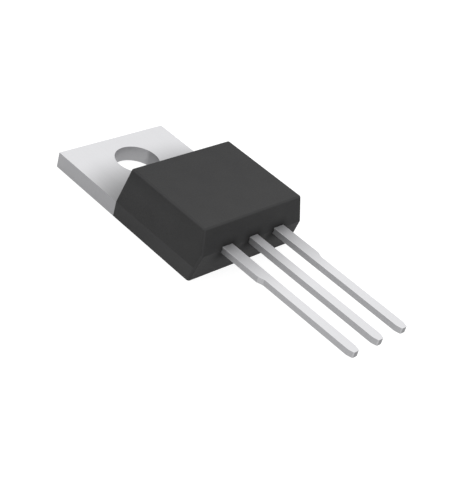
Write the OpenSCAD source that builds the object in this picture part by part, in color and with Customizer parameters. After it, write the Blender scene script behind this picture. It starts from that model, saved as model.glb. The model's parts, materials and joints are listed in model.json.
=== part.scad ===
// Triac in a plastic power package with three leads in line and a metal mounting tab.
// Origin: centre of the mounting hole, on the rear face of the tab.
// +X runs across the width, +Y towards the end of the tab and +Z out of the front face.
// The leads run towards -Y. All lengths are in millimetres.

/* [Mounting tab] */
// Width of the tab and of the body at the tab
tab_width = 10.4; // [9.8:0.1:10.6]
// Thickness of the tab and of the slug under the chip
tab_thickness = 1.3; // [1.2:0.05:1.4]
// Diameter of the mounting hole
hole_diameter = 3.6; // [3.5:0.05:3.9]
// Centre of the hole to the end of the tab
hole_to_end = 3.2; // [2.8:0.1:3.4]
// Centre of the hole to the moulded body
hole_to_body = 3.8; // [3.5:0.1:4]

/* [Slug under the body] */
// Width of the metal left bare on the rear of the body
slug_width = 8; // [7.6:0.1:8.4]
// Length of the slug past the back of the body
slug_length = 5.6; // [5.4:0.1:5.8]
// How far the slug's front layer overhangs the rear layer, for the plastic to grip
slug_lip = 0.35; // [0.2:0.05:0.4]
// Thickness of the rear layer
slug_step = 0.45; // [0.3:0.05:0.6]
// Radius of the notch in each side of the front layer
notch_radius = 0.45; // [0.3:0.05:0.5]
// Depth of the groove across the front of the slug, just inside the body
groove_depth = 0.2; // [0.1:0.05:0.3]
// From the back of the body to the middle of that groove
groove_inset = 0.45; // [0.4:0.05:0.6]

/* [Moulded body] */
// Height of the body over the rear face of the tab
body_height = 4.5; // [4.4:0.05:4.6]
// Length of the body at the parting line of the mould
body_length = 9.1; // [8.8:0.1:9.2]
// Height of the parting line where the leads come out
parting_height = 2.5; // [2.45:0.05:2.65]
// Draft of each side above the tab, in degrees
side_draft = 4.9; // [4:0.1:7]
// Draft of the back above the tab, in degrees
back_draft = 9.3; // [8:0.1:12]
// Draft of the front above the parting line, in degrees
front_draft = 14.7; // [12:0.1:17]
// Draft of the front below the parting line, in degrees
chin_draft = 13; // [8:0.5:14]
// Radius of the body's edges
edge_radius = 0.2; // [0.15:0.05:0.4]

/* [Leads] */
// Distance between the centres of neighbouring leads
lead_pitch = 2.54; // [2.54]
// Thickness of each lead
lead_thickness = 0.5; // [0.4:0.05:0.6]
// Width of each lead
lead_width = 0.8; // [0.7:0.05:0.9]
// Height of the centre of the leads over the rear face of the tab
lead_height = 2.48; // [2.4:0.02:2.6]
// Length of the leads outside the body
lead_length = 12.5; // [12.4:0.1:14]
// Extra width of the two outer leads near the body, on the outer side only
shoulder_extra = 0.2; // [0.1:0.05:0.3]
// Length of that wide stretch outside the body
shoulder_length = 3.6; // [3:0.05:3.8]
// Length of the slope from the wide stretch to the narrow one
shoulder_slope = 0.5; // [0.3:0.05:0.8]
// Radius at each end of that slope
shoulder_radius = 0.25; // [0.1:0.05:0.4]
// Length of the chamfers at each tip
tip_length = 0.45; // [0.3:0.05:0.8]
// Width of the flat end of each tip
tip_width = 0.5; // [0.4:0.02:0.6]

/* [Chip and bond wires] */
// Side of the square chip
chip_size = 3.6; // [3:0.1:3.8]
// Thickness of the chip
chip_thickness = 0.25; // [0.2:0.01:0.3]
// Thickness of the solder under the chip
solder_thickness = 0.05; // [0.03:0.01:0.08]
// Diameter of the two wires to the main terminal
main_wire_d = 0.38; // [0.3:0.01:0.4]
// Diameter of the wire to the gate
gate_wire_d = 0.15; // [0.12:0.01:0.2]
// Height that each wire loops over the straight way between its ends
loop_height = 1.2; // [0.9:0.1:1.4]

/* [Hidden] */
$fn = 48;

clear_past = 1;                            // how far a cutting shape runs past what it cuts
body_back = -hole_to_body;
body_front = body_back - body_length;
slug_end = body_back - slug_length;
lead_tip = body_front - lead_length;

// Down-set bend of the middle lead, from the slug up to the level of the leads
strip_centre = tab_thickness - lead_thickness / 2;
bend_angle = 45;
bend_radius = 0.5;
bend_root = 0.15;                          // straight strip between slug and first bend
bend_inside_slug = 0.5;
bend_lap = 0.3;                            // how far the bend's strip runs on into the flat lead
root_width = 1.6;
front_wall = 0.85;                         // plastic in front of the widest metal inside the body
bend_slope = (lead_height - strip_centre - 2 * bend_radius * (1 - cos(bend_angle))) / sin(bend_angle);
bend_reach = bend_root + 2 * bend_radius * sin(bend_angle) + bend_slope * cos(bend_angle);
bend_end = slug_end - bend_reach;
root_end = body_front + front_wall;        // where the middle lead takes its narrow width

// Bond pads at the inner ends of the outer leads
pad_back = slug_end - 0.65;
pad_front = body_front + front_wall;
pad_inner = 1.5;
pad_outer = 4.1;
pad_corner = 0.3;

// Places of the chip and of the wire ends on it and on the pads
chip_centre = [0, slug_end + 2.7];
chip_base = tab_thickness + solder_thickness;
chip_top = chip_base + chip_thickness;
solder_margin = 0.1;
moat_inset = 0.2;
moat_width = 0.15;
moat_depth = 0.08;
pad_top = lead_height + lead_thickness / 2;
wire_rise = pad_top - chip_top;
main_outer_ends = [[-0.95, -6.7], [-3.35, -11.1]];
main_inner_ends = [[0.2, -6.7], [-2.2, -11.1]];
gate_ends = [[1.25, -7.75], [2.4, -11.1]];
stitch_length = 2.4;                       // stitch sizes are in wire diameters
stitch_width = 1.5;
stitch_height = 0.55;
stitch_sink = 0.15;                        // share of a stitch's half height that its flat foot cuts off
stitch_places = [0, 0.1, 0.25, 1];         // shares of a stitch's length where it has a ring of points
stitch_link = 0.06;                        // side of the small cube that joins two metals' hollows
heel = 0.15;                               // share of the loop over which a stitch turns round
wire_sides = 10;
loop_rings = 15;

// Half width of the body, and the places of its back and front faces, at height z
function side_at(z) = tab_width / 2 - max(0, z - tab_thickness) * tan(side_draft);
function back_at(z) = body_back - max(0, z - tab_thickness) * tan(back_draft);
function front_at(z) = z > parting_height
    ? body_front + (z - parting_height) * tan(front_draft)
    : body_front + (parting_height - z) * tan(chin_draft);

// Goes smoothly from 0 to 1 as t does
function ease(t) = (1 - cos(180 * t)) / 2;

function reversed(list) = [for (i = [len(list) - 1:-1:0]) list[i]];

// Points along an arc, from one angle to another
function arc(centre, radius, from, to) =
    let (steps = 6)
    [for (i = [0:steps]) let (a = from + (to - from) * i / steps)
        centre + radius * [cos(a), sin(a)]];

// Chamfered tip of a lead, from its -X side round to its +X side
function tip_edge() =
    let (start = lead_tip + tip_length)
    [[-lead_width / 2, start], [-tip_width / 2, lead_tip],
     [tip_width / 2, lead_tip], [lead_width / 2, start]];

// Outer side of an outer lead where the wide stretch slopes in to the narrow one:
// an arc, the straight slope and an arc back
function shoulder_edge() =
    let (start = body_front - shoulder_length,
         turn = atan(shoulder_extra / shoulder_slope),
         tangent = shoulder_radius * tan(turn / 2),
         outer = [lead_width / 2 + shoulder_extra - shoulder_radius, start + tangent],
         inner = [lead_width / 2 + shoulder_radius, start - shoulder_slope - tangent])
    concat(arc(outer, shoulder_radius, 0, -turn), arc(inner, shoulder_radius, 180 - turn, 180));

// Outside of the moulding: drafted faces that meet in rounded edges,
// square only at the back, where the plastic ends flush with the sides of the tab
module body_form() {
    foot_height = 0.01;
    hull() {
        translate([-tab_width / 2, body_back - edge_radius, 0])
            cube([tab_width, edge_radius, tab_thickness]);
        for (side = [-1, 1]) {
            top = body_height - edge_radius;
            top_x = side * (side_at(top) - edge_radius / cos(side_draft));
            translate([top_x, back_at(top) - edge_radius / cos(back_draft), top])
                sphere(edge_radius, $fn = 32);
            translate([top_x, front_at(top) + edge_radius / cos(front_draft), top])
                sphere(edge_radius, $fn = 32);
            for (z = [tab_thickness, parting_height])
                translate([side * (side_at(z) - edge_radius), front_at(z) + edge_radius, z])
                    sphere(edge_radius, $fn = 32);
            translate([side * (side_at(0) - edge_radius), front_at(0) + edge_radius, 0])
                cylinder(r = edge_radius, h = foot_height, $fn = 32);
        }
    }
}

module moulded_body() {
    color("#3d3d3d")
        difference() {
            body_form();
            union() {
                tab_with_mt2_lead();
                mt1_lead();
                gate_lead();
                triac_chip();
                chip_solder();
                mt1_wire_outer();
                mt1_wire_inner();
                gate_wire();
                // inside both metals at each stitch, so that their hollows join into one
                for (ends = [main_outer_ends, main_inner_ends, gate_ends]) {
                    translate([ends[0][0], ends[0][1], chip_top]) cube(stitch_link, center = true);
                    translate([ends[1][0], ends[1][1], pad_top]) cube(stitch_link, center = true);
                }
            }
        }
}

// Tab, slug and middle lead: one stamping from a strip that is thick on one side
module tab_with_mt2_lead() {
    color("#d9d9db") {
        difference() {
            union() {
                translate([-tab_width / 2, body_back, 0])
                    cube([tab_width, hole_to_body + hole_to_end, tab_thickness]);
                slug_layer(slug_width, 0, 0, slug_step);
                slug_layer(slug_width + 2 * slug_lip, slug_lip, slug_step, tab_thickness);
            }
            translate([0, 0, -clear_past])
                cylinder(d = hole_diameter, h = tab_thickness + 2 * clear_past, $fn = 96);
            for (side = [-1, 1])
                translate([side * (slug_width / 2 + slug_lip), (body_back + slug_end) / 2, slug_step])
                    cylinder(r = notch_radius, h = tab_thickness);
            lock_groove();
        }
        down_set_bend();
        middle_lead();
    }
}

module slug_layer(width, past_end, bottom, top) {
    translate([-width / 2, slug_end - past_end, bottom])
        cube([width, slug_length + past_end, top - bottom]);
}

// V groove that keeps moisture from creeping along the metal to the chip
module lock_groove() {
    translate([-tab_width / 2 - clear_past, body_back - groove_inset, tab_thickness])
        rotate([90, 0, 90])
            linear_extrude(tab_width + 2 * clear_past)
                polygon([[-groove_depth, 0], [0, -groove_depth], [groove_depth, 0],
                         [groove_depth, clear_past], [-groove_depth, clear_past]]);
}

// The thin strip seen from the side, as distance past the slug and height:
// out of the slug, up at the bend angle and level again
module down_set_bend() {
    half = lead_thickness / 2;
    flat_end = bend_reach + bend_lap;
    first = [bend_root, strip_centre + bend_radius];
    second = [bend_reach, lead_height - bend_radius];
    translate([root_width / 2, slug_end, 0])
        rotate([90, 0, -90])
            linear_extrude(root_width)
                polygon(concat(
                    [[-bend_inside_slug, strip_centre - half]],
                    arc(first, bend_radius + half, -90, bend_angle - 90),
                    arc(second, bend_radius - half, 90 + bend_angle, 90),
                    [[flat_end, lead_height - half], [flat_end, lead_height + half]],
                    arc(second, bend_radius + half, 90, 90 + bend_angle),
                    arc(first, bend_radius - half, bend_angle - 90, -90),
                    [[-bend_inside_slug, strip_centre + half]]));
}

module middle_lead() {
    narrow = lead_width / 2;
    root = root_width / 2;
    translate([0, 0, lead_height - lead_thickness / 2])
        linear_extrude(lead_thickness)
            polygon(concat(
                [[-root, bend_end], [-root, root_end], [-narrow, root_end]],
                tip_edge(),
                [[narrow, root_end], [root, root_end], [root, bend_end]]));
}

// Outer lead with its bond pad, for the +X side: the pad is inside the body
module outer_lead() {
    narrow = lead_width / 2;
    wide = narrow + shoulder_extra;
    translate([0, 0, lead_height - lead_thickness / 2])
        linear_extrude(lead_thickness)
            polygon(concat(
                [[pad_inner, pad_back], [pad_inner, pad_front + pad_corner],
                 [pad_inner + pad_corner, pad_front], [lead_pitch - narrow, pad_front]],
                [for (p = concat(tip_edge(), reversed(shoulder_edge())))
                    [lead_pitch + p[0], p[1]]],
                [[lead_pitch + wide, pad_front], [pad_outer - pad_corner, pad_front],
                 [pad_outer, pad_front + pad_corner], [pad_outer, pad_back]]));
}

module mt1_lead() {
    color("#cfcfd1") mirror([1, 0, 0]) outer_lead();
}

module gate_lead() {
    color("#cfcfd1") outer_lead();
}

// Silicon chip with a passivation moat round its front face
module triac_chip() {
    moat_outer = chip_size - 2 * moat_inset;
    moat_inner = moat_outer - 2 * moat_width;
    color("#5b5f6b")
        translate([chip_centre[0], chip_centre[1], 0])
            difference() {
                translate([-chip_size / 2, -chip_size / 2, chip_base])
                    cube([chip_size, chip_size, chip_thickness]);
                difference() {
                    translate([-moat_outer / 2, -moat_outer / 2, chip_top - moat_depth])
                        cube([moat_outer, moat_outer, clear_past]);
                    translate([-moat_inner / 2, -moat_inner / 2, chip_base])
                        cube([moat_inner, moat_inner, clear_past * 2]);
                }
            }
}

module chip_solder() {
    side = chip_size + 2 * solder_margin;
    color("#b5b7ba")
        translate([chip_centre[0] - side / 2, chip_centre[1] - side / 2, tab_thickness])
            cube([side, side, solder_thickness]);
}

// Height of a wire's underside over the chip, and how flat the wire is pressed (1 at a stitch,
// 0 where it is round), at distance s along its span
function loop_under(s, foot, free) =
    let (t = (s - foot) / free)
    t <= 0 ? 0 : t >= 1 ? wire_rise : wire_rise * ease(t) + loop_height * pow(sin(180 * t), 2);
function pressed(s, foot, free) =
    let (t = (s - foot) / free)
    1 - ease(min(1, max(0, min(t, 1 - t)) / heel));

// One ring of points round the wire, square to its slope and flat where it rests on metal
function wire_ring(s, foot, free, wire_d) =
    let (span = free + 2 * foot,
         flat = pressed(s, foot, free),
         step = free / 100,
         slope = atan((loop_under(s + step, foot, free) - loop_under(s - step, foot, free)) / (2 * step)),
         to_end = min(1, min(s, span - s) / (wire_d / 2)),
         half_w = wire_d / 2 * (1 + (stitch_width - 1) * flat) * (0.5 + 0.5 * sqrt(to_end * (2 - to_end))),
         half_h = wire_d / 2 * (1 - (1 - stitch_height) * flat),
         middle = loop_under(s, foot, free) + half_h * (1 - stitch_sink * flat),
         rest = s < foot + free / 3 ? 0 : s > span - foot - free / 8 ? wire_rise : -1)
    [for (k = [0:wire_sides - 1]) let (a = 360 * (k + 0.5) / wire_sides, up = half_h * sin(a))
        [s - up * sin(slope), half_w * cos(a), max(rest, middle + up * cos(slope))]];

// Bond wire between two points: from a stitch on the chip, up, over and down to one on a pad
module bond_wire(ends, wire_d) {
    way = ends[1] - ends[0];
    foot = stitch_length * wire_d;
    free = norm(way) - foot;
    places = concat(foot * stitch_places,
                    [for (i = [1:loop_rings]) foot + free * i / (loop_rings + 1)],
                    [for (share = reversed(stitch_places)) foot + free + foot * (1 - share)]);
    rings = [for (s = places) wire_ring(s, foot, free, wire_d)];
    last = len(rings) - 1;
    points = [for (ring = rings, p = ring) p];
    quads = [for (i = [0:last - 1], k = [0:wire_sides - 1])
        let (n = (k + 1) % wire_sides, row = i * wire_sides, next = row + wire_sides)
        [row + k, row + n, next + n, next + k]];
    triangles = [for (q = quads, half = [[q[2], q[1], q[0]], [q[3], q[2], q[0]]]) half];
    caps = [[for (k = [0:wire_sides - 1]) k], [for (k = [wire_sides - 1:-1:0]) last * wire_sides + k]];
    translate([ends[0][0], ends[0][1], chip_top])
        rotate([0, 0, atan2(way[1], way[0])])
            translate([-foot / 2, 0, 0])
                polyhedron(points, concat(triangles, caps));
}

module mt1_wire_outer() {
    color("#c9ccd0") bond_wire(main_outer_ends, main_wire_d);
}

module mt1_wire_inner() {
    color("#c9ccd0") bond_wire(main_inner_ends, main_wire_d);
}

module gate_wire() {
    color("#c9ccd0") bond_wire(gate_ends, gate_wire_d);
}

moulded_body();
tab_with_mt2_lead();
mt1_lead();
gate_lead();
triac_chip();
chip_solder();
mt1_wire_outer();
mt1_wire_inner();
gate_wire();
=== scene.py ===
# A triac in a plastic power package, lying on its rear face on a plain pale floor.
# The CAD frame gives every shape and place. Here the stampings get the rounded rims and tips that
# punching and plating leave, the bond wires are drawn round and smooth, and each piece gets its
# finish; the moulding and the stampings also get painted light and shade.
import json
import math

import bmesh
import bpy
import numpy as np
from mathutils import Matrix, Vector


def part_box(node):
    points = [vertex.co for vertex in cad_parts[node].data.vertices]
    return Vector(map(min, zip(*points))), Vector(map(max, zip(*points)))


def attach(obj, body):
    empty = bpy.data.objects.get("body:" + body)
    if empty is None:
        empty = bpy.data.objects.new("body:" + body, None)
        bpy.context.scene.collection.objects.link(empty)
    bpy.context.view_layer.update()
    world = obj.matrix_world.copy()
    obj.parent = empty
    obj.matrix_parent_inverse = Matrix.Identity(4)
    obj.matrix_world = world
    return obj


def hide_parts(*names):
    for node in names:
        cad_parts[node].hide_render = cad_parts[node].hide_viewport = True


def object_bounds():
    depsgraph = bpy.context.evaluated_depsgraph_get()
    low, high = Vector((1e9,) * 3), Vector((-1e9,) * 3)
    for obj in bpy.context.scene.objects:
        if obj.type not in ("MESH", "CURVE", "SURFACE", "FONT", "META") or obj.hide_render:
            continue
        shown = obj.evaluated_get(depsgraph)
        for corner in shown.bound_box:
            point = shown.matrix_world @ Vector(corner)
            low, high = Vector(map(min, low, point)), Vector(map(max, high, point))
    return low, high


mm = 0.001
noiseDetail = 2.0                     # octaves of a fine texture
noiseSpread = (0.3, 0.7)              # nearly all of a noise texture lies between these

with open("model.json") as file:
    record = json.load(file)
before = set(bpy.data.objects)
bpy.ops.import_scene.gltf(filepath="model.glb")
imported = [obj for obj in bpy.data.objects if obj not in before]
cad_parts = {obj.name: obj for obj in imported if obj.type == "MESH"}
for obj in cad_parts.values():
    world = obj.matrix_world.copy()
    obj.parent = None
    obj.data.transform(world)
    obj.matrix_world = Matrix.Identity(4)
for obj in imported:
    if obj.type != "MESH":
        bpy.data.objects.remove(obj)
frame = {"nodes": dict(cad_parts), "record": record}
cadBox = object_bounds()
scene = bpy.context.scene
scene.view_settings.view_transform = "Standard"
print("frame loaded:", ", ".join(sorted(frame["nodes"])))


# sRGB hex to linear: each channel over 12.92, or ((c + 0.055) / 1.055) ** 2.4 above 0.04045
def linear(hexColour):
    srgb = np.array([int(hexColour[i:i + 2], 16) for i in (1, 3, 5)]) / 255
    rgb = np.where(srgb <= 0.04045, srgb / 12.92, ((srgb + 0.055) / 1.055) ** 2.4)
    return (*rgb.tolist(), 1.0)


# Adds one node. Settings are its own properties, and inputs are its sockets' values, or the sockets
# or nodes that feed them
def add(tree, kind, inputs=None, **settings):
    node = tree.nodes.new("ShaderNode" + kind)
    for key, value in settings.items():
        setattr(node, key, value)
    for socket, value in (inputs or {}).items():
        if isinstance(value, bpy.types.Node):
            value = next(output for output in value.outputs if output.enabled)
        if isinstance(value, bpy.types.NodeSocket):
            tree.links.new(value, node.inputs[socket])
        else:
            node.inputs[socket].default_value = value
    return node


def addObject(name, data):
    obj = bpy.data.objects.new(name, data)
    scene.collection.objects.link(obj)
    return obj


def newMaterial(name):
    material = bpy.data.materials.new(name)
    material.use_nodes = True
    tree = material.node_tree
    tree.nodes.clear()
    return material, tree


def setMaterial(obj, material):
    obj.data.materials.clear()
    obj.data.materials.append(material)


# Epoxy moulding compound, transfer moulded: black resin full of silica. The spark-eroded mould
# leaves it finely matt. Its top and sides get a little paler towards the leads, a painted light
# gradient, and faces that stand upright or lean down are painted paler than those that point up,
# as painted light. Wax and filler leave faint cloudy patches, its rounded edges get a painted
# highlight, and round each lead on the front it is painted dark and rougher, as painted shade.
epoxy = {
    "upFacing": ("#2e2e2f", "#3c3c3c"),  # each pair is a dark and a light patch
    "paintedPaler": ("#3b3b3c", "#484848"), "paintedPalerAtFront": 0.3,   # how much of this painted paler shade the chin has
    "upwards": 0.05,                  # faces that point up by more than this are not painted paler
    "cloudy": 0.5, "paintedChangeAtFront": 0.2,       # a patch is part cloud, part the painted light change along Y
    # painted shade round each lead where it leaves the moulding
    "leadShadeColour": "#212121",
    # painted highlight on the rounded edges
    "edgeHighlight": "#4a4a4b", "edgeHighlightShare": 0.3,
    "edgeHighlightTilt": (0.95, 0.85),       # how far the normal points along an axis, from a flat to an edge
    "mottleMm": 1.6, "mottleDetail": 3.0,     # cloudy patches
    "grainMm": 0.11,                  # eroded texture; coarser than the real 0.03 mm, to show
    "grainDepthMm": 0.004, "grainStrength": 0.6,
    "leadShadeMm": (0.85, 1.45),           # reach of the painted shade ring above and below a lead's middle
    "leadShadeFade": 2.0,                  # power of its fading
    "leadSpacingMm": 2.54, "leadWidthMm": 0.8, "leadThickMm": 0.5,
    "roughness": (0.52, 0.64), "leadShadeRoughness": 0.95,
    "ior": 1.3,                       # under plain resin's 1.5: the matt, filled skin reflects less
}


# The painted shade ring round each lead: one less the distance in X and Z from the nearest lead over its
# reach, to a power
def leadShadeShare(tree, place):
    low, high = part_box("moulded_body")
    leadLow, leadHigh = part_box("mt1_lead")
    middle = (0, (low[1] + high[1]) / 2, (leadLow[2] + leadHigh[2]) / 2)
    spacing = epoxy["leadSpacingMm"] * mm
    half = (epoxy["leadWidthMm"] / 2 * mm, 0, epoxy["leadThickMm"] / 2 * mm)

    fromLead = add(tree, "VectorMath", {0: place, 1: middle}, operation="SUBTRACT")
    at = add(tree, "SeparateXYZ", {0: fromLead})
    aside = add(tree, "Math", {0: at.outputs["X"]}, operation="ABSOLUTE")
    nearest = add(tree, "Math", {0: aside, 1: spacing / 2}, operation="PINGPONG")
    beyond = add(tree, "Math", {0: aside, 1: spacing}, operation="SUBTRACT")
    toLead = add(tree, "Math", {0: nearest, 1: beyond}, operation="MAXIMUM")
    toLevel = add(tree, "Math", {0: at.outputs["Z"]}, operation="ABSOLUTE")
    offset = add(tree, "CombineXYZ", {"X": toLead, "Z": toLevel})
    past = add(tree, "VectorMath", {0: offset, 1: half}, operation="SUBTRACT")
    outside = add(tree, "VectorMath", {0: past, 1: (0, 0, 0)}, operation="MAXIMUM")
    away = add(tree, "VectorMath", {0: outside}, operation="LENGTH")
    above, below = (size * mm for size in epoxy["leadShadeMm"])
    under = add(tree, "Math", {0: at.outputs["Z"], 1: 0.0}, operation="LESS_THAN")
    reach = add(tree, "Mix", {0: under, 2: above, 3: below}, data_type="FLOAT")
    near = add(tree, "MapRange", {"Value": away, "From Max": reach, "To Min": 1.0, "To Max": 0.0})
    ring = add(tree, "Math", {0: near, 1: epoxy["leadShadeFade"]}, operation="POWER")
    onFront = add(tree, "Math", {0: at.outputs["Y"], 1: 0.0}, operation="LESS_THAN")
    return add(tree, "Math", {0: ring, 1: onFront}, operation="MULTIPLY")


def makeEpoxy():
    material, tree = newMaterial("mouldedEpoxyCompound")
    place = add(tree, "TexCoord").outputs["Object"]
    at = add(tree, "SeparateXYZ", {0: place})
    points = add(tree, "NewGeometry").outputs["True Normal"]
    normal = add(tree, "SeparateXYZ", {0: points})
    turned = add(tree, "SeparateXYZ", {0: add(tree, "VectorMath", {0: points}, operation="ABSOLUTE")})
    facing = turned.outputs["Y"]

    # how light a patch is: cloud, and a painted light change along Y that the two ends hardly have
    low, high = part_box("moulded_body")
    mottle = add(tree, "TexNoise", {"Vector": place, "Scale": 1 / (epoxy["mottleMm"] * mm),
                                    "Detail": epoxy["mottleDetail"]})
    along = add(tree, "MapRange", {"Value": at.outputs["Y"], "From Min": high[1], "From Max": low[1],
                                   "To Max": 1 - epoxy["cloudy"]})
    alongShare = add(tree, "MapRange", {"Value": facing, "To Min": 1.0, "To Max": epoxy["paintedChangeAtFront"]})
    paintedChange = add(tree, "Math", {0: along, 1: alongShare}, operation="MULTIPLY")
    cloudAndPaintedChange = add(tree, "Math", {0: mottle, 1: epoxy["cloudy"], 2: paintedChange}, operation="MULTIPLY_ADD")

    # faces that stand upright or lean down are painted paler, as painted light
    leansDown = add(tree, "Math", {0: normal.outputs["Z"], 1: epoxy["upwards"]}, operation="LESS_THAN")
    paintedPalerShare = add(tree, "MapRange", {"Value": facing, "To Min": 1.0, "To Max": epoxy["paintedPalerAtFront"]})
    paintedPalerWhere = add(tree, "Math", {0: leansDown, 1: paintedPalerShare}, operation="MULTIPLY")
    byFacing = []
    for dark, light in (epoxy["upFacing"], epoxy["paintedPaler"]):
        byFacing.append(add(tree, "Mix", {0: cloudAndPaintedChange, 6: linear(dark), 7: linear(light)}, data_type="RGBA"))
    clean = add(tree, "Mix", {0: paintedPalerWhere, 6: byFacing[0], 7: byFacing[1]}, data_type="RGBA")

    # an edge points less along its main axis than a flat does; it gets a painted highlight
    sideways = add(tree, "Math", {0: turned.outputs["X"], 1: facing}, operation="MAXIMUM")
    most = add(tree, "Math", {0: sideways, 1: turned.outputs["Z"]}, operation="MAXIMUM")
    low, high = epoxy["edgeHighlightTilt"]
    onEdge = add(tree, "MapRange", {"Value": most, "From Min": low, "From Max": high,
                                    "To Max": epoxy["edgeHighlightShare"]})
    highlighted = add(tree, "Mix", {0: onEdge, 6: clean, 7: linear(epoxy["edgeHighlight"])}, data_type="RGBA")

    # painted shade round each lead, darker and rougher
    leadShade = leadShadeShare(tree, place)
    colour = add(tree, "Mix", {0: leadShade, 6: highlighted, 7: linear(epoxy["leadShadeColour"])}, data_type="RGBA")
    grain = add(tree, "TexNoise", {"Vector": place, "Scale": 1 / (epoxy["grainMm"] * mm),
                                   "Detail": noiseDetail})
    low, high = epoxy["roughness"]
    eroded = add(tree, "MapRange", {"Value": grain, "From Min": noiseSpread[0], "From Max": noiseSpread[1],
                                    "To Min": low, "To Max": high})
    rough = add(tree, "Mix", {0: leadShade, 2: eroded, 3: epoxy["leadShadeRoughness"]}, data_type="FLOAT")
    bump = add(tree, "Bump", {"Height": grain, "Strength": epoxy["grainStrength"],
                              "Distance": epoxy["grainDepthMm"] * mm})
    shader = add(tree, "BsdfPrincipled", {"Base Color": colour, "Roughness": rough, "Normal": bump,
                                          "IOR": epoxy["ior"]})
    add(tree, "OutputMaterial", {"Surface": shader})
    return material


# Copper strip, punched and then plated with matt tin. Flat faces are pale and satin, with faint
# rolling lines. Punched edges are greyer, with upright shear lines, and the thick tab's are greyer
# than the thin leads'. The hole's wall is burnished on its far half, and painted darker, as painted
# shade, on the half towards the moulding. The tips, cut last, are darkest. Their corners and the
# slopes below the shoulders, where the bar between the leads was trimmed off, get a painted
# highlight. Beside the moulding the faces get a painted shade, and the punched edges a weaker
# painted shade.
tin = {
    "face": ("#e4e4e6", "#e8e8ea"),   # pairs are for the tab and for the leads
    "edge": ("#b3b3b5", "#bebec0"),
    # painted shade beside the moulding, on the faces and, weaker, on the punched edges
    "dull": ("#909091", "#b8b8ba"), "bodyShadeReachMm": (5.5, 6.2),
    "bodyShadeAcrossMm": 3.6, "drawnBackMm": 0.5,      # beyond this x the painted shade draws back, by this at the sides
    "rootShade": (1.0, 0.65), "rootMm": 1.4,       # how deep each painted shade is right at the moulding
    "bodyShadeEdge": ("#a0a0a2", "#a4a4a6"), "bodyShadeEdgeShare": 0.3,
    # painted highlight on the slopes below the shoulders and on the tip corners, then the cut tips' own
    # colour
    "slopeHighlight": "#cacacc", "tip": "#a0a0a2",
    "hole": ("#c6c6c8", "#a6a6a8"), "holeShadeBelowMm": (0.8, 0.4),    # burnished, and painted shade; painted shade below this y
    "holeReach": 1.05,                # in hole radii, to take in its rims
    "leadsOverMm": 1.8,               # what is higher than this is a lead
    "faceTilt": (0.35, 0.75),         # how upright the normal is from an edge to a face,
    "frontTilt": (0.6, 0.9),          # from an edge to the front,
    "tipTilt": (-0.94, -0.98),        # how far it points to -Y at a tip,
    "slopeTurn": (0.31, 0.335),       # and X times Y of it on a trimmed slope or a corner
    "faceRoughness": (0.42, 0.52), "edgeRoughness": (0.42, 0.56), "holeRoughness": 0.55,
    "crystalMm": (0.08, 0.08, 0.08),  # matt tin grain; coarser than the real 0.01 mm, to show
    "rollingMm": (0.12, 5.0, 0.12),   # lines along the strip
    "shearMm": (0.07, 0.07, 0.9),     # lines up the punched edges
    "raggedMm": (0.3, 0.3, 0.3),      # border of the hole's painted shade
    "heightSpread": (0.7, 1.3),       # nearly all of lines plus crystals lies between these
    "lineDepthMm": 0.0025, "lineStrength": 0.5,
}


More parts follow.
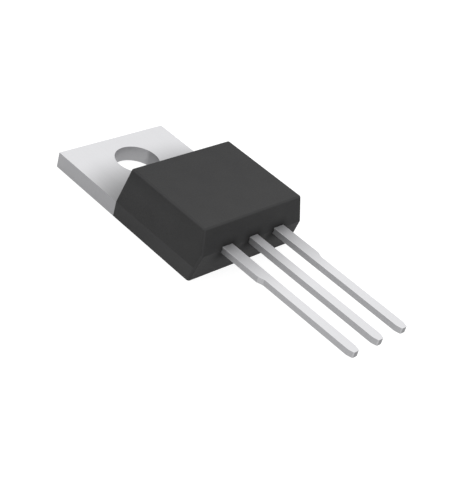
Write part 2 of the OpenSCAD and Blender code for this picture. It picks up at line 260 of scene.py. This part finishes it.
# What each point of a stamping is, as shares from 0 to 1, by its place and the way its face points
def stampingZones(tree, place, holeRadius):
    at = add(tree, "SeparateXYZ", {0: place})
    normal = add(tree, "NewGeometry").outputs["True Normal"]
    points = add(tree, "SeparateXYZ", {0: normal})
    turned = add(tree, "SeparateXYZ", {0: add(tree, "VectorMath", {0: normal}, operation="ABSOLUTE")})
    zone = {}
    zone["lead"] = add(tree, "Math", {0: at.outputs["Z"], 1: tin["leadsOverMm"] * mm},
                       operation="GREATER_THAN")
    low, high = tin["faceTilt"]
    zone["face"] = add(tree, "MapRange", {"Value": turned.outputs["Z"], "From Min": low, "From Max": high})
    low, high = tin["tipTilt"]
    end = add(tree, "MapRange", {"Value": points.outputs["Y"], "From Min": low, "From Max": high})
    zone["tip"] = add(tree, "Math", {0: end, 1: zone["lead"]}, operation="MULTIPLY")
    # slopes below the shoulders and tip corners, for a painted highlight
    low, high = tin["slopeTurn"]
    both = add(tree, "Math", {0: turned.outputs["X"], 1: turned.outputs["Y"]}, operation="MULTIPLY")
    slope = add(tree, "MapRange", {"Value": both, "From Min": low, "From Max": high})
    zone["slopeHighlight"] = add(tree, "Math", {0: slope, 1: zone["lead"]}, operation="MULTIPLY")

    # the hole's wall is no face and lies within the hole's radius, and a little more for its rims
    flat = add(tree, "VectorMath", {0: place, 1: (1, 1, 0)}, operation="MULTIPLY")
    fromAxis = add(tree, "VectorMath", {0: flat}, operation="LENGTH")
    within = add(tree, "Math", {0: fromAxis, 1: holeRadius * tin["holeReach"]}, operation="LESS_THAN")
    upright = add(tree, "Math", {0: 1.0, 1: zone["face"]}, operation="SUBTRACT")
    zone["hole"] = add(tree, "Math", {0: within, 1: upright}, operation="MULTIPLY")

    # out is the way out from the moulding: how far y is from its middle, less half its length
    low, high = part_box("moulded_body")
    along = add(tree, "Math", {0: at.outputs["Y"], 1: (low[1] + high[1]) / 2}, operation="SUBTRACT")
    fromMiddle = add(tree, "Math", {0: along}, operation="ABSOLUTE")
    out = add(tree, "Math", {0: fromMiddle, 1: (high[1] - low[1]) / 2}, operation="SUBTRACT")
    # the painted shade fades over its reach from the moulding and draws back at the far sides; for the
    # leads it is lighter right at the moulding
    tab, lead = (size * mm for size in tin["bodyShadeReachMm"])
    reach = add(tree, "Mix", {0: zone["lead"], 2: tab, 3: lead}, data_type="FLOAT")
    across = add(tree, "Math", {0: at.outputs["X"]}, operation="ABSOLUTE")
    drawnBack = add(tree, "MapRange", {"Value": across, "From Min": tin["bodyShadeAcrossMm"] * mm,
                                       "From Max": high[0], "To Max": tin["drawnBackMm"] * mm})
    further = add(tree, "Math", {0: out, 1: drawnBack}, operation="ADD")
    fading = add(tree, "MapRange", {"Value": further, "From Max": reach, "To Min": 1.0, "To Max": 0.0},
                 interpolation_type="SMOOTHSTEP")
    tab, lead = tin["rootShade"]
    root = add(tree, "Mix", {0: zone["lead"], 2: tab, 3: lead}, data_type="FLOAT")
    growing = add(tree, "MapRange", {"Value": out, "From Max": tin["rootMm"] * mm, "To Min": root})
    dull = add(tree, "Math", {0: fading, 1: growing}, operation="MULTIPLY")
    low, high = tin["frontTilt"]
    front = add(tree, "MapRange", {"Value": points.outputs["Z"], "From Min": low, "From Max": high})
    zone["dullFront"] = add(tree, "Math", {0: dull, 1: front}, operation="MULTIPLY")
    zone["bodyShadeEdge"] = add(tree, "Math", {0: dull, 1: tin["bodyShadeEdgeShare"]}, operation="MULTIPLY")
    return zone


def makeTin(holeRadius):
    material, tree = newMaterial("mattTinOnCopperStrip")
    place = add(tree, "TexCoord").outputs["Object"]
    zone = stampingZones(tree, place, holeRadius)
    texture = {}
    for key in ("crystalMm", "rollingMm", "shearMm", "raggedMm"):
        grid = add(tree, "Mapping", {"Vector": place, "Scale": [1 / (size * mm) for size in tin[key]]})
        texture[key] = add(tree, "TexNoise", {"Vector": grid, "Scale": 1.0, "Detail": noiseDetail})
    shade = {}
    for key in ("face", "edge", "dull", "bodyShadeEdge"):
        tab, lead = (linear(colour) for colour in tin[key])
        shade[key] = add(tree, "Mix", {0: zone["lead"], 6: tab, 7: lead}, data_type="RGBA")

    # the hole's wall is painted darker below a ragged y, as painted shade
    at = add(tree, "SeparateXYZ", {0: place})
    border = add(tree, "Math", {0: texture["raggedMm"], 1: tin["raggedMm"][0] * mm, 2: at.outputs["Y"]},
                 operation="MULTIPLY_ADD")
    low, high = ((below + tin["raggedMm"][0] / 2) * mm for below in tin["holeShadeBelowMm"])
    holeShade = add(tree, "MapRange", {"Value": border, "From Min": low, "From Max": high})
    wall, holeShadeWall = (linear(colour) for colour in tin["hole"])
    hole = add(tree, "Mix", {0: holeShade, 6: wall, 7: holeShadeWall}, data_type="RGBA")

    # each finish, painted shade and painted highlight is laid over the ones before it
    colour = shade["edge"]
    for where, overlay in ((zone["bodyShadeEdge"], shade["bodyShadeEdge"]), (zone["face"], shade["face"]),
                          (zone["dullFront"], shade["dull"]), (zone["slopeHighlight"], linear(tin["slopeHighlight"])),
                          (zone["hole"], hole), (zone["tip"], linear(tin["tip"]))):
        colour = add(tree, "Mix", {0: where, 6: colour, 7: overlay}, data_type="RGBA")

    lines = add(tree, "Mix", {0: zone["face"], 2: texture["shearMm"], 3: texture["rollingMm"]},
                data_type="FLOAT")
    height = add(tree, "Math", {0: lines, 1: texture["crystalMm"]}, operation="ADD")
    smoothest, roughest = tin["heightSpread"]
    roughness = []
    for low, high in (tin["edgeRoughness"], tin["faceRoughness"]):
        roughness.append(add(tree, "MapRange", {"Value": height, "From Min": smoothest,
                                                "From Max": roughest, "To Min": low, "To Max": high}))
    plated = add(tree, "Mix", {0: zone["face"], 2: roughness[0], 3: roughness[1]}, data_type="FLOAT")
    rough = add(tree, "Mix", {0: zone["hole"], 2: plated, 3: tin["holeRoughness"]}, data_type="FLOAT")
    bump = add(tree, "Bump", {"Height": height, "Strength": tin["lineStrength"],
                              "Distance": tin["lineDepthMm"] * mm})
    shader = add(tree, "BsdfPrincipled", {"Base Color": colour, "Metallic": 1.0, "Roughness": rough,
                                          "Normal": bump})
    add(tree, "OutputMaterial", {"Surface": shader})
    return material


stamping = {
    "rimMm": 0.02, "rimSteps": 3,     # rounded rim
    "rimDegrees": 16,                 # the rim runs along edges that turn by more than this
    "cornerMm": 0.09, "cornerSteps": 5,           # rounded upright corners of the lead tips,
    "tipMm": 0.6,                     # which lie within this of the end
    "slots": {"tab_with_mt2_lead": "tinned_copper_tab", "mt1_lead": "tinned_copper_lead",
              "gate_lead": "tinned_copper_lead"},
}
copying = {
    "weldMm": 0.0005, "flatDegrees": 0.5,     # points and faces as close as this become one
    "creaseDegrees": 1,               # two flats that meet at more than this keep a crease,
    "sharpDegrees": 40,               # and so do any two faces at more than this
    "flatAreaMm2": 0.4,               # faces over this are flats of the moulding, not its rounded edges
}


# A copy of a CAD node, its loose triangles joined and merged into flat faces
def cleanCopy(node, name):
    mesh = frame["nodes"][node].data.copy()
    mesh.name = name
    form = bmesh.new()
    form.from_mesh(mesh)
    bmesh.ops.remove_doubles(form, verts=form.verts, dist=copying["weldMm"] * mm)
    bmesh.ops.dissolve_limit(form, angle_limit=math.radians(copying["flatDegrees"]), verts=form.verts,
                             edges=form.edges)
    for face in form.faces:
        face.smooth = True
    form.to_mesh(mesh)
    form.free()
    return addObject(name, mesh)


def standFor(piece, node, material):
    setMaterial(piece, material)
    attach(piece, "root")
    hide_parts(node)


def keepFlat(piece):
    normals = piece.modifiers.new("flat faces stay flat", "WEIGHTED_NORMAL")
    normals.keep_sharp = True


# Gives the upright edges of a lead's tip a bevel weight, which rounds them before the rims
def roundTip(piece):
    form = bmesh.new()
    form.from_mesh(piece.data)
    weight = form.edges.layers.float.new("bevel_weight_edge")
    tip = cadBox[0][1] + stamping["tipMm"] * mm
    for edge in form.edges:
        ends = [vert.co for vert in edge.verts]
        upright = (ends[0] - ends[1]).xy.length < copying["weldMm"] * mm
        edge[weight] = float(upright and ends[0].y < tip)
    form.to_mesh(piece.data)
    form.free()
    bevel = piece.modifiers.new("rounded tip corners", "BEVEL")
    bevel.width = stamping["cornerMm"] * mm
    bevel.segments = stamping["cornerSteps"]
    bevel.limit_method = "WEIGHT"


def roundRims(piece):
    bevel = piece.modifiers.new("rounded rims", "BEVEL")
    bevel.width = stamping["rimMm"] * mm
    bevel.segments = stamping["rimSteps"]
    bevel.limit_method = "ANGLE"
    bevel.angle_limit = math.radians(stamping["rimDegrees"])
    keepFlat(piece)


# Marks creases between two flats of the moulding as sharp, so that only its rounded edges shade smooth
def creaseFlats(piece):
    form = bmesh.new()
    form.from_mesh(piece.data)
    for edge in form.edges:
        if len(edge.link_faces) == 2:
            turn = math.degrees(edge.calc_face_angle())
            flats = all(face.calc_area() > copying["flatAreaMm2"] * mm * mm for face in edge.link_faces)
            edge.smooth = turn <= copying["creaseDegrees" if flats else "sharpDegrees"]
    form.to_mesh(piece.data)
    form.free()
    keepFlat(piece)


epoxyMaterial = makeEpoxy()
body = cleanCopy("moulded_body", "moulded_body_skin")
creaseFlats(body)
standFor(body, "moulded_body", epoxyMaterial)
print("moulding made")

tabHole = frame["record"]["mounts"][0]
tinMaterial = makeTin(tabHole["dims"]["r_mm"] * mm)
for node, slot in stamping["slots"].items():
    piece = cleanCopy(node, node + "_plated")
    roundTip(piece)
    roundRims(piece)
    standFor(piece, node, tinMaterial)
print("stampings made")

# Diced silicon: dark grey and polished at its sawn sides. Its front has two bright aluminium pads
# in brownish passivation glass, which also lines the moat.
die = {
    "silicon": "#4b4e57", "glass": "#5a4d3a", "pad": "#d5d6d8",
    "sideMm": 3.6, "padInsetMm": 0.37, "gatePadMm": 0.95, "padGapMm": 0.12,
    "upwards": 0.5,                   # the front points up by more than this
    "roughness": (0.16, 0.34),        # silicon and glass, and pads
    "grainMm": 0.05, "grainDepthMm": 0.002, "grainStrength": 0.4,     # sintered aluminium
}


# The pads are boxes on the die: the gate pad fills one corner, and the main pad the rest
def makeSilicon():
    material, tree = newMaterial("dicedSilicon")
    low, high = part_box("triac_chip")
    place = add(tree, "TexCoord").outputs["Object"]
    at = add(tree, "SeparateXYZ", {0: place})

    # one where a point is within a square that stands off the middle along the die's diagonal
    def padShare(asideMm, halfMm):
        x = (low[0] + high[0]) / 2 + asideMm * mm
        y = (low[1] + high[1]) / 2 - asideMm * mm
        inX = add(tree, "Math", {0: at.outputs["X"], 1: x, 2: halfMm * mm}, operation="COMPARE")
        inY = add(tree, "Math", {0: at.outputs["Y"], 1: y, 2: halfMm * mm}, operation="COMPARE")
        return add(tree, "Math", {0: inX, 1: inY}, operation="MULTIPLY")

    half = die["sideMm"] / 2 - die["padInsetMm"]
    gate = die["gatePadMm"] / 2
    corner = padShare(half - gate, gate + die["padGapMm"])
    main = add(tree, "Math", {0: padShare(0, half), 1: corner}, operation="SUBTRACT", use_clamp=True)
    pads = add(tree, "Math", {0: main, 1: padShare(half - gate, gate)}, operation="ADD")
    normal = add(tree, "SeparateXYZ", {0: add(tree, "NewGeometry").outputs["True Normal"]})
    front = add(tree, "Math", {0: normal.outputs["Z"], 1: die["upwards"]}, operation="GREATER_THAN")
    metal = add(tree, "Math", {0: pads, 1: front}, operation="MULTIPLY")
    silicon, glass = linear(die["silicon"]), linear(die["glass"])
    plain = add(tree, "Mix", {0: front, 6: silicon, 7: glass}, data_type="RGBA")
    colour = add(tree, "Mix", {0: metal, 6: plain, 7: linear(die["pad"])}, data_type="RGBA")
    low, high = die["roughness"]
    rough = add(tree, "MapRange", {"Value": metal, "To Min": low, "To Max": high})
    grain = add(tree, "TexNoise", {"Vector": place, "Scale": 1 / (die["grainMm"] * mm),
                                   "Detail": noiseDetail})
    sintered = add(tree, "Math", {0: grain, 1: metal}, operation="MULTIPLY")
    bump = add(tree, "Bump", {"Height": sintered, "Strength": die["grainStrength"],
                              "Distance": die["grainDepthMm"] * mm})
    shader = add(tree, "BsdfPrincipled", {"Base Color": colour, "Metallic": metal, "Roughness": rough,
                                          "Normal": bump})
    add(tree, "OutputMaterial", {"Surface": shader})
    return material


# Soft solder, melted under the die and frozen: grey and satin, slightly rippled
solder = {
    "dark": "#9a9b9d", "light": "#b4b5b6", "roughness": 0.36,
    "rippleMm": 0.3, "rippleDetail": 3.0, "rippleDepthMm": 0.01, "rippleStrength": 0.7,
}


def makeSolder():
    material, tree = newMaterial("reflowedSoftSolder")
    place = add(tree, "TexCoord").outputs["Object"]
    ripple = add(tree, "TexNoise", {"Vector": place, "Scale": 1 / (solder["rippleMm"] * mm),
                                    "Detail": solder["rippleDetail"]})
    dark, light = linear(solder["dark"]), linear(solder["light"])
    colour = add(tree, "Mix", {0: ripple, 6: dark, 7: light}, data_type="RGBA")
    bump = add(tree, "Bump", {"Height": ripple, "Strength": solder["rippleStrength"],
                              "Distance": solder["rippleDepthMm"] * mm})
    shader = add(tree, "BsdfPrincipled", {"Base Color": colour, "Metallic": 1.0,
                                          "Roughness": solder["roughness"], "Normal": bump})
    add(tree, "OutputMaterial", {"Surface": shader})
    return material


# Bond wires of drawn aluminium: bright and satin, with fine lines along them from the drawing die
wire = {
    "runs": {                         # where each stitch is centred, x and y in mm
        "mt1_wire_outer": {"die": (-0.95, -6.7), "pad": (-3.35, -11.1), "thickMm": 0.38},
        "mt1_wire_inner": {"die": (0.2, -6.7), "pad": (-2.2, -11.1), "thickMm": 0.38},
        "gate_wire": {"die": (1.25, -7.75), "pad": (2.4, -11.1), "thickMm": 0.15},
    },
    "loopMm": 1.2,                    # height over the straight way
    "stitchLong": 2.4, "stitchWide": 1.5, "stitchHigh": 0.55,     # in wire diameters
    "stitchSink": 0.15,               # share of half its height that a stitch is pressed flat by
    "heel": 0.15,                     # share of the loop over which a stitch turns round
    "endWide": 0.5,                   # how wide a cut end is, against the stitch
    "overDie": 1 / 3, "overPad": 1 / 8,           # shares of the loop that keep above die and lead
    "grooves": 5, "grooveDeep": 0.06,             # print of the wedge tool, its depth in wire radii
    "sides": 24, "stitchRings": 41, "loopRings": 60,
    "aluminium": "#d3d5d8", "roughness": (0.24, 0.36),
    "drawnMm": (3.0, 0.04), "lineDepthMm": 0.002, "lineStrength": 0.3,
}


# Goes smoothly from 0 to 1 as t does
def ease(t):
    return (1 - np.cos(np.pi * t)) / 2


# Rings of points along the wire. The underside at distance s is an eased rise from die to pad plus a
# squared sine; at a stitch the ring is wide, low and flat below, with the tool's grooves on its top.
def makeWire(name, run, dieTop, padTop):
    start, end = (np.array(run[key]) * mm for key in ("die", "pad"))
    radius = run["thickMm"] * mm / 2
    foot = wire["stitchLong"] * 2 * radius
    length = np.linalg.norm(end - start)
    ahead = (end - start) / length
    free = length - foot
    span = length + foot
    rise = padTop - dieTop
    stitch = np.linspace(0, foot, wire["stitchRings"])
    loop = np.linspace(foot, length, wire["loopRings"])[1:-1]
    s = np.concatenate([stitch, loop, stitch + length])
    t = np.clip((s - foot) / free, 0, 1)
    under = rise * ease(t) + wire["loopMm"] * mm * np.sin(np.pi * t) ** 2
    slope = np.arctan(np.gradient(under, s))
    flat = 1 - ease(np.minimum(1, np.minimum(t, 1 - t) / wire["heel"]))
    toEnd = np.minimum(1, np.minimum(s, span - s) / radius)
    endWide = wire["endWide"] + (1 - wire["endWide"]) * np.sqrt(toEnd * (2 - toEnd))
    halfWide = radius * (1 + (wire["stitchWide"] - 1) * flat) * endWide
    halfHigh = radius * (1 - (1 - wire["stitchHigh"]) * flat)
    middle = under + halfHigh * (1 - wire["stitchSink"] * flat)
    floor = np.where(s > length - free * wire["overPad"], rise, -np.inf)
    floor = np.where(s < foot + free * wire["overDie"], 0, floor)
    pressed = np.where(t <= 0, s, np.where(t >= 1, s - length, 0))
    grooves = wire["grooveDeep"] * radius * np.sin(np.pi * wire["grooves"] * pressed / foot) ** 2

    turn = np.linspace(0, 2 * np.pi, wire["sides"], endpoint=False)
    up = halfHigh[:, None] * np.sin(turn) - grooves[:, None] * np.clip(np.sin(turn), 0, 1)
    forward = s[:, None] - up * np.sin(slope)[:, None] - foot / 2
    aside = halfWide[:, None] * np.cos(turn)
    height = np.maximum(floor[:, None], middle[:, None] + up * np.cos(slope)[:, None])
    points = np.stack([start[0] + forward * ahead[0] - aside * ahead[1],
                       start[1] + forward * ahead[1] + aside * ahead[0], dieTop + height], axis=-1)

    rings, sides = up.shape
    ring, side = np.divmod(np.arange((rings - 1) * sides), sides)
    after = (side + 1) % sides
    quads = np.stack([ring * sides + side, ring * sides + after, (ring + 1) * sides + after,
                      (ring + 1) * sides + side], axis=-1)
    caps = [list(range(sides))[::-1], list(range((rings - 1) * sides, rings * sides))]
    mesh = bpy.data.meshes.new(name)
    mesh.from_pydata(points.reshape(-1, 3).tolist(), [], quads.tolist() + caps)

    # the UV map runs in mm, along the wire and round it
    around = turn[1] * run["thickMm"] / 2
    unrolled = np.zeros((len(mesh.loops), 2))
    here, further = s[ring] / mm, s[ring + 1] / mm
    left, right = side * around, (side + 1) * around
    unrolled[:quads.size] = np.stack([here, left, here, right, further, right, further, left],
                                     axis=-1).reshape(-1, 2)
    mesh.uv_layers.new(name="unrolled").data.foreach_set("uv", unrolled.ravel())
    mesh.shade_smooth()
    return addObject(name, mesh)


def makeAluminium():
    material, tree = newMaterial("drawnAluminiumWire")
    unrolled = add(tree, "UVMap", uv_map="unrolled")
    along, around = wire["drawnMm"]
    grid = add(tree, "Mapping", {"Vector": unrolled, "Scale": (1 / along, 1 / around, 1)})
    lines = add(tree, "TexNoise", {"Vector": grid, "Scale": 1.0, "Detail": noiseDetail})
    low, high = wire["roughness"]
    rough = add(tree, "MapRange", {"Value": lines, "From Min": noiseSpread[0], "From Max": noiseSpread[1],
                                   "To Min": low, "To Max": high})
    bump = add(tree, "Bump", {"Height": lines, "Strength": wire["lineStrength"],
                              "Distance": wire["lineDepthMm"] * mm})
    shader = add(tree, "BsdfPrincipled", {"Base Color": linear(wire["aluminium"]), "Metallic": 1.0,
                                          "Roughness": rough, "Normal": bump})
    add(tree, "OutputMaterial", {"Surface": shader})
    return material


setMaterial(frame["nodes"]["triac_chip"], makeSilicon())
setMaterial(frame["nodes"]["chip_solder"], makeSolder())
aluminiumMaterial = makeAluminium()
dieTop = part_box("triac_chip")[1][2]
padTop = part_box("mt1_lead")[1][2]
for node, run in wire["runs"].items():
    piece = makeWire(node + "_drawn", run, dieTop, padTop)
    standFor(piece, node, aluminiumMaterial)
print("die and wires made")

# Plain soft studio: a white dome over a pale floor. The dome is a little dimmer at the horizon and
# towards +X and -Y, the right of the lead tips. Floor and dome are white to the camera, and the
# floor's reflections in metal are part way there.
studio = {
    "floorMm": 4000, "floorGapMm": 0.002,         # it lies a little under the part, so the two don't mix
    "floorColour": "#a0a0a0", "seenGlow": 0.84, "mirrorGlow": 0.5,
    "domeTop": 1.12, "domeHorizon": 0.82, "gradientTo": 0.8,
    "dimTowards": (0.7, -0.7, 0.0), "dimBy": 0.25,
}
camera = {
    "azimuth": -52.326, "elevation": 34.313, "roll": 16.105,
    "distanceMm": 86.797, "lensMm": 91.155, "aimFromCentreMm": (-1.341, -0.451, -0.25),
    "clipMm": (5, 10000),
}


def makeFloor():
    half = studio["floorMm"] / 2 * mm
    mesh = bpy.data.meshes.new("floor")
    corners = [(-half, -half, 0), (half, -half, 0), (half, half, 0), (-half, half, 0)]
    mesh.from_pydata(corners, [], [(0, 1, 2, 3)])
    floor = addObject("floor", mesh)
    floor.location.z = -studio["floorGapMm"] * mm
    material, tree = newMaterial("paleCard")
    ray = add(tree, "LightPath")
    seen = add(tree, "Math", {0: ray.outputs["Is Camera Ray"], 1: studio["seenGlow"]},
               operation="MULTIPLY")
    mirror = add(tree, "Math", {0: ray.outputs["Is Glossy Ray"], 1: ray.outputs["Is Transmission Ray"]},
                 operation="MAXIMUM")
    glow = add(tree, "Math", {0: mirror, 1: studio["mirrorGlow"], 2: seen}, operation="MULTIPLY_ADD")
    card = add(tree, "BsdfDiffuse", {"Color": linear(studio["floorColour"])})
    lit = add(tree, "Emission", {"Color": (1, 1, 1, 1), "Strength": glow})
    both = add(tree, "AddShader", {0: card, 1: lit})
    add(tree, "OutputMaterial", {"Surface": both})
    setMaterial(floor, material)


def makeDome():
    world = bpy.data.worlds.new("studio")
    scene.world = world
    world.use_nodes = True
    tree = world.node_tree
    tree.nodes.clear()
    direction = add(tree, "TexCoord").outputs["Generated"]
    up = add(tree, "SeparateXYZ", {0: direction}).outputs["Z"]
    level = add(tree, "MapRange", {"Value": up, "From Max": studio["gradientTo"],
                                   "To Min": studio["domeHorizon"], "To Max": studio["domeTop"]})
    towards = add(tree, "VectorMath", {0: direction, 1: studio["dimTowards"]}, operation="DOT_PRODUCT")
    lit = add(tree, "MapRange", {"Value": towards, "To Min": 1.0, "To Max": 1 - studio["dimBy"]})
    dome = add(tree, "Math", {0: level, 1: lit}, operation="MULTIPLY")
    ray = add(tree, "LightPath")
    strength = add(tree, "Mix", {0: ray.outputs["Is Camera Ray"], 2: dome, 3: 1.0}, data_type="FLOAT")
    glow = add(tree, "Background", {"Color": (1, 1, 1, 1), "Strength": strength})
    add(tree, "OutputWorld", {"Surface": glow})


# The camera looks at the aim point from its azimuth (from -Y towards -X) and elevation, then rolls
def makeCamera(centre):
    azimuth, elevation, roll = (math.radians(camera[key]) for key in ("azimuth", "elevation", "roll"))
    back = Vector((math.sin(azimuth) * math.cos(elevation), -math.cos(azimuth) * math.cos(elevation),
                   math.sin(elevation)))
    right = Vector((0, 0, 1)).cross(back).normalized()
    up = back.cross(right)
    rolledRight = right * math.cos(roll) + up * math.sin(roll)
    rolledUp = up * math.cos(roll) - right * math.sin(roll)
    spot = centre + Vector(camera["aimFromCentreMm"]) * mm + back * camera["distanceMm"] * mm
    lens = bpy.data.cameras.new("camera")
    lens.lens = camera["lensMm"]
    lens.clip_start, lens.clip_end = (distance * mm for distance in camera["clipMm"])
    holder = addObject("camera", lens)
    turned = Matrix((rolledRight, rolledUp, back)).transposed().to_4x4()
    holder.matrix_world = Matrix.Translation(spot) @ turned
    scene.camera = holder


makeFloor()
makeDome()
makeCamera((cadBox[0] + cadBox[1]) / 2)
print("stage set")
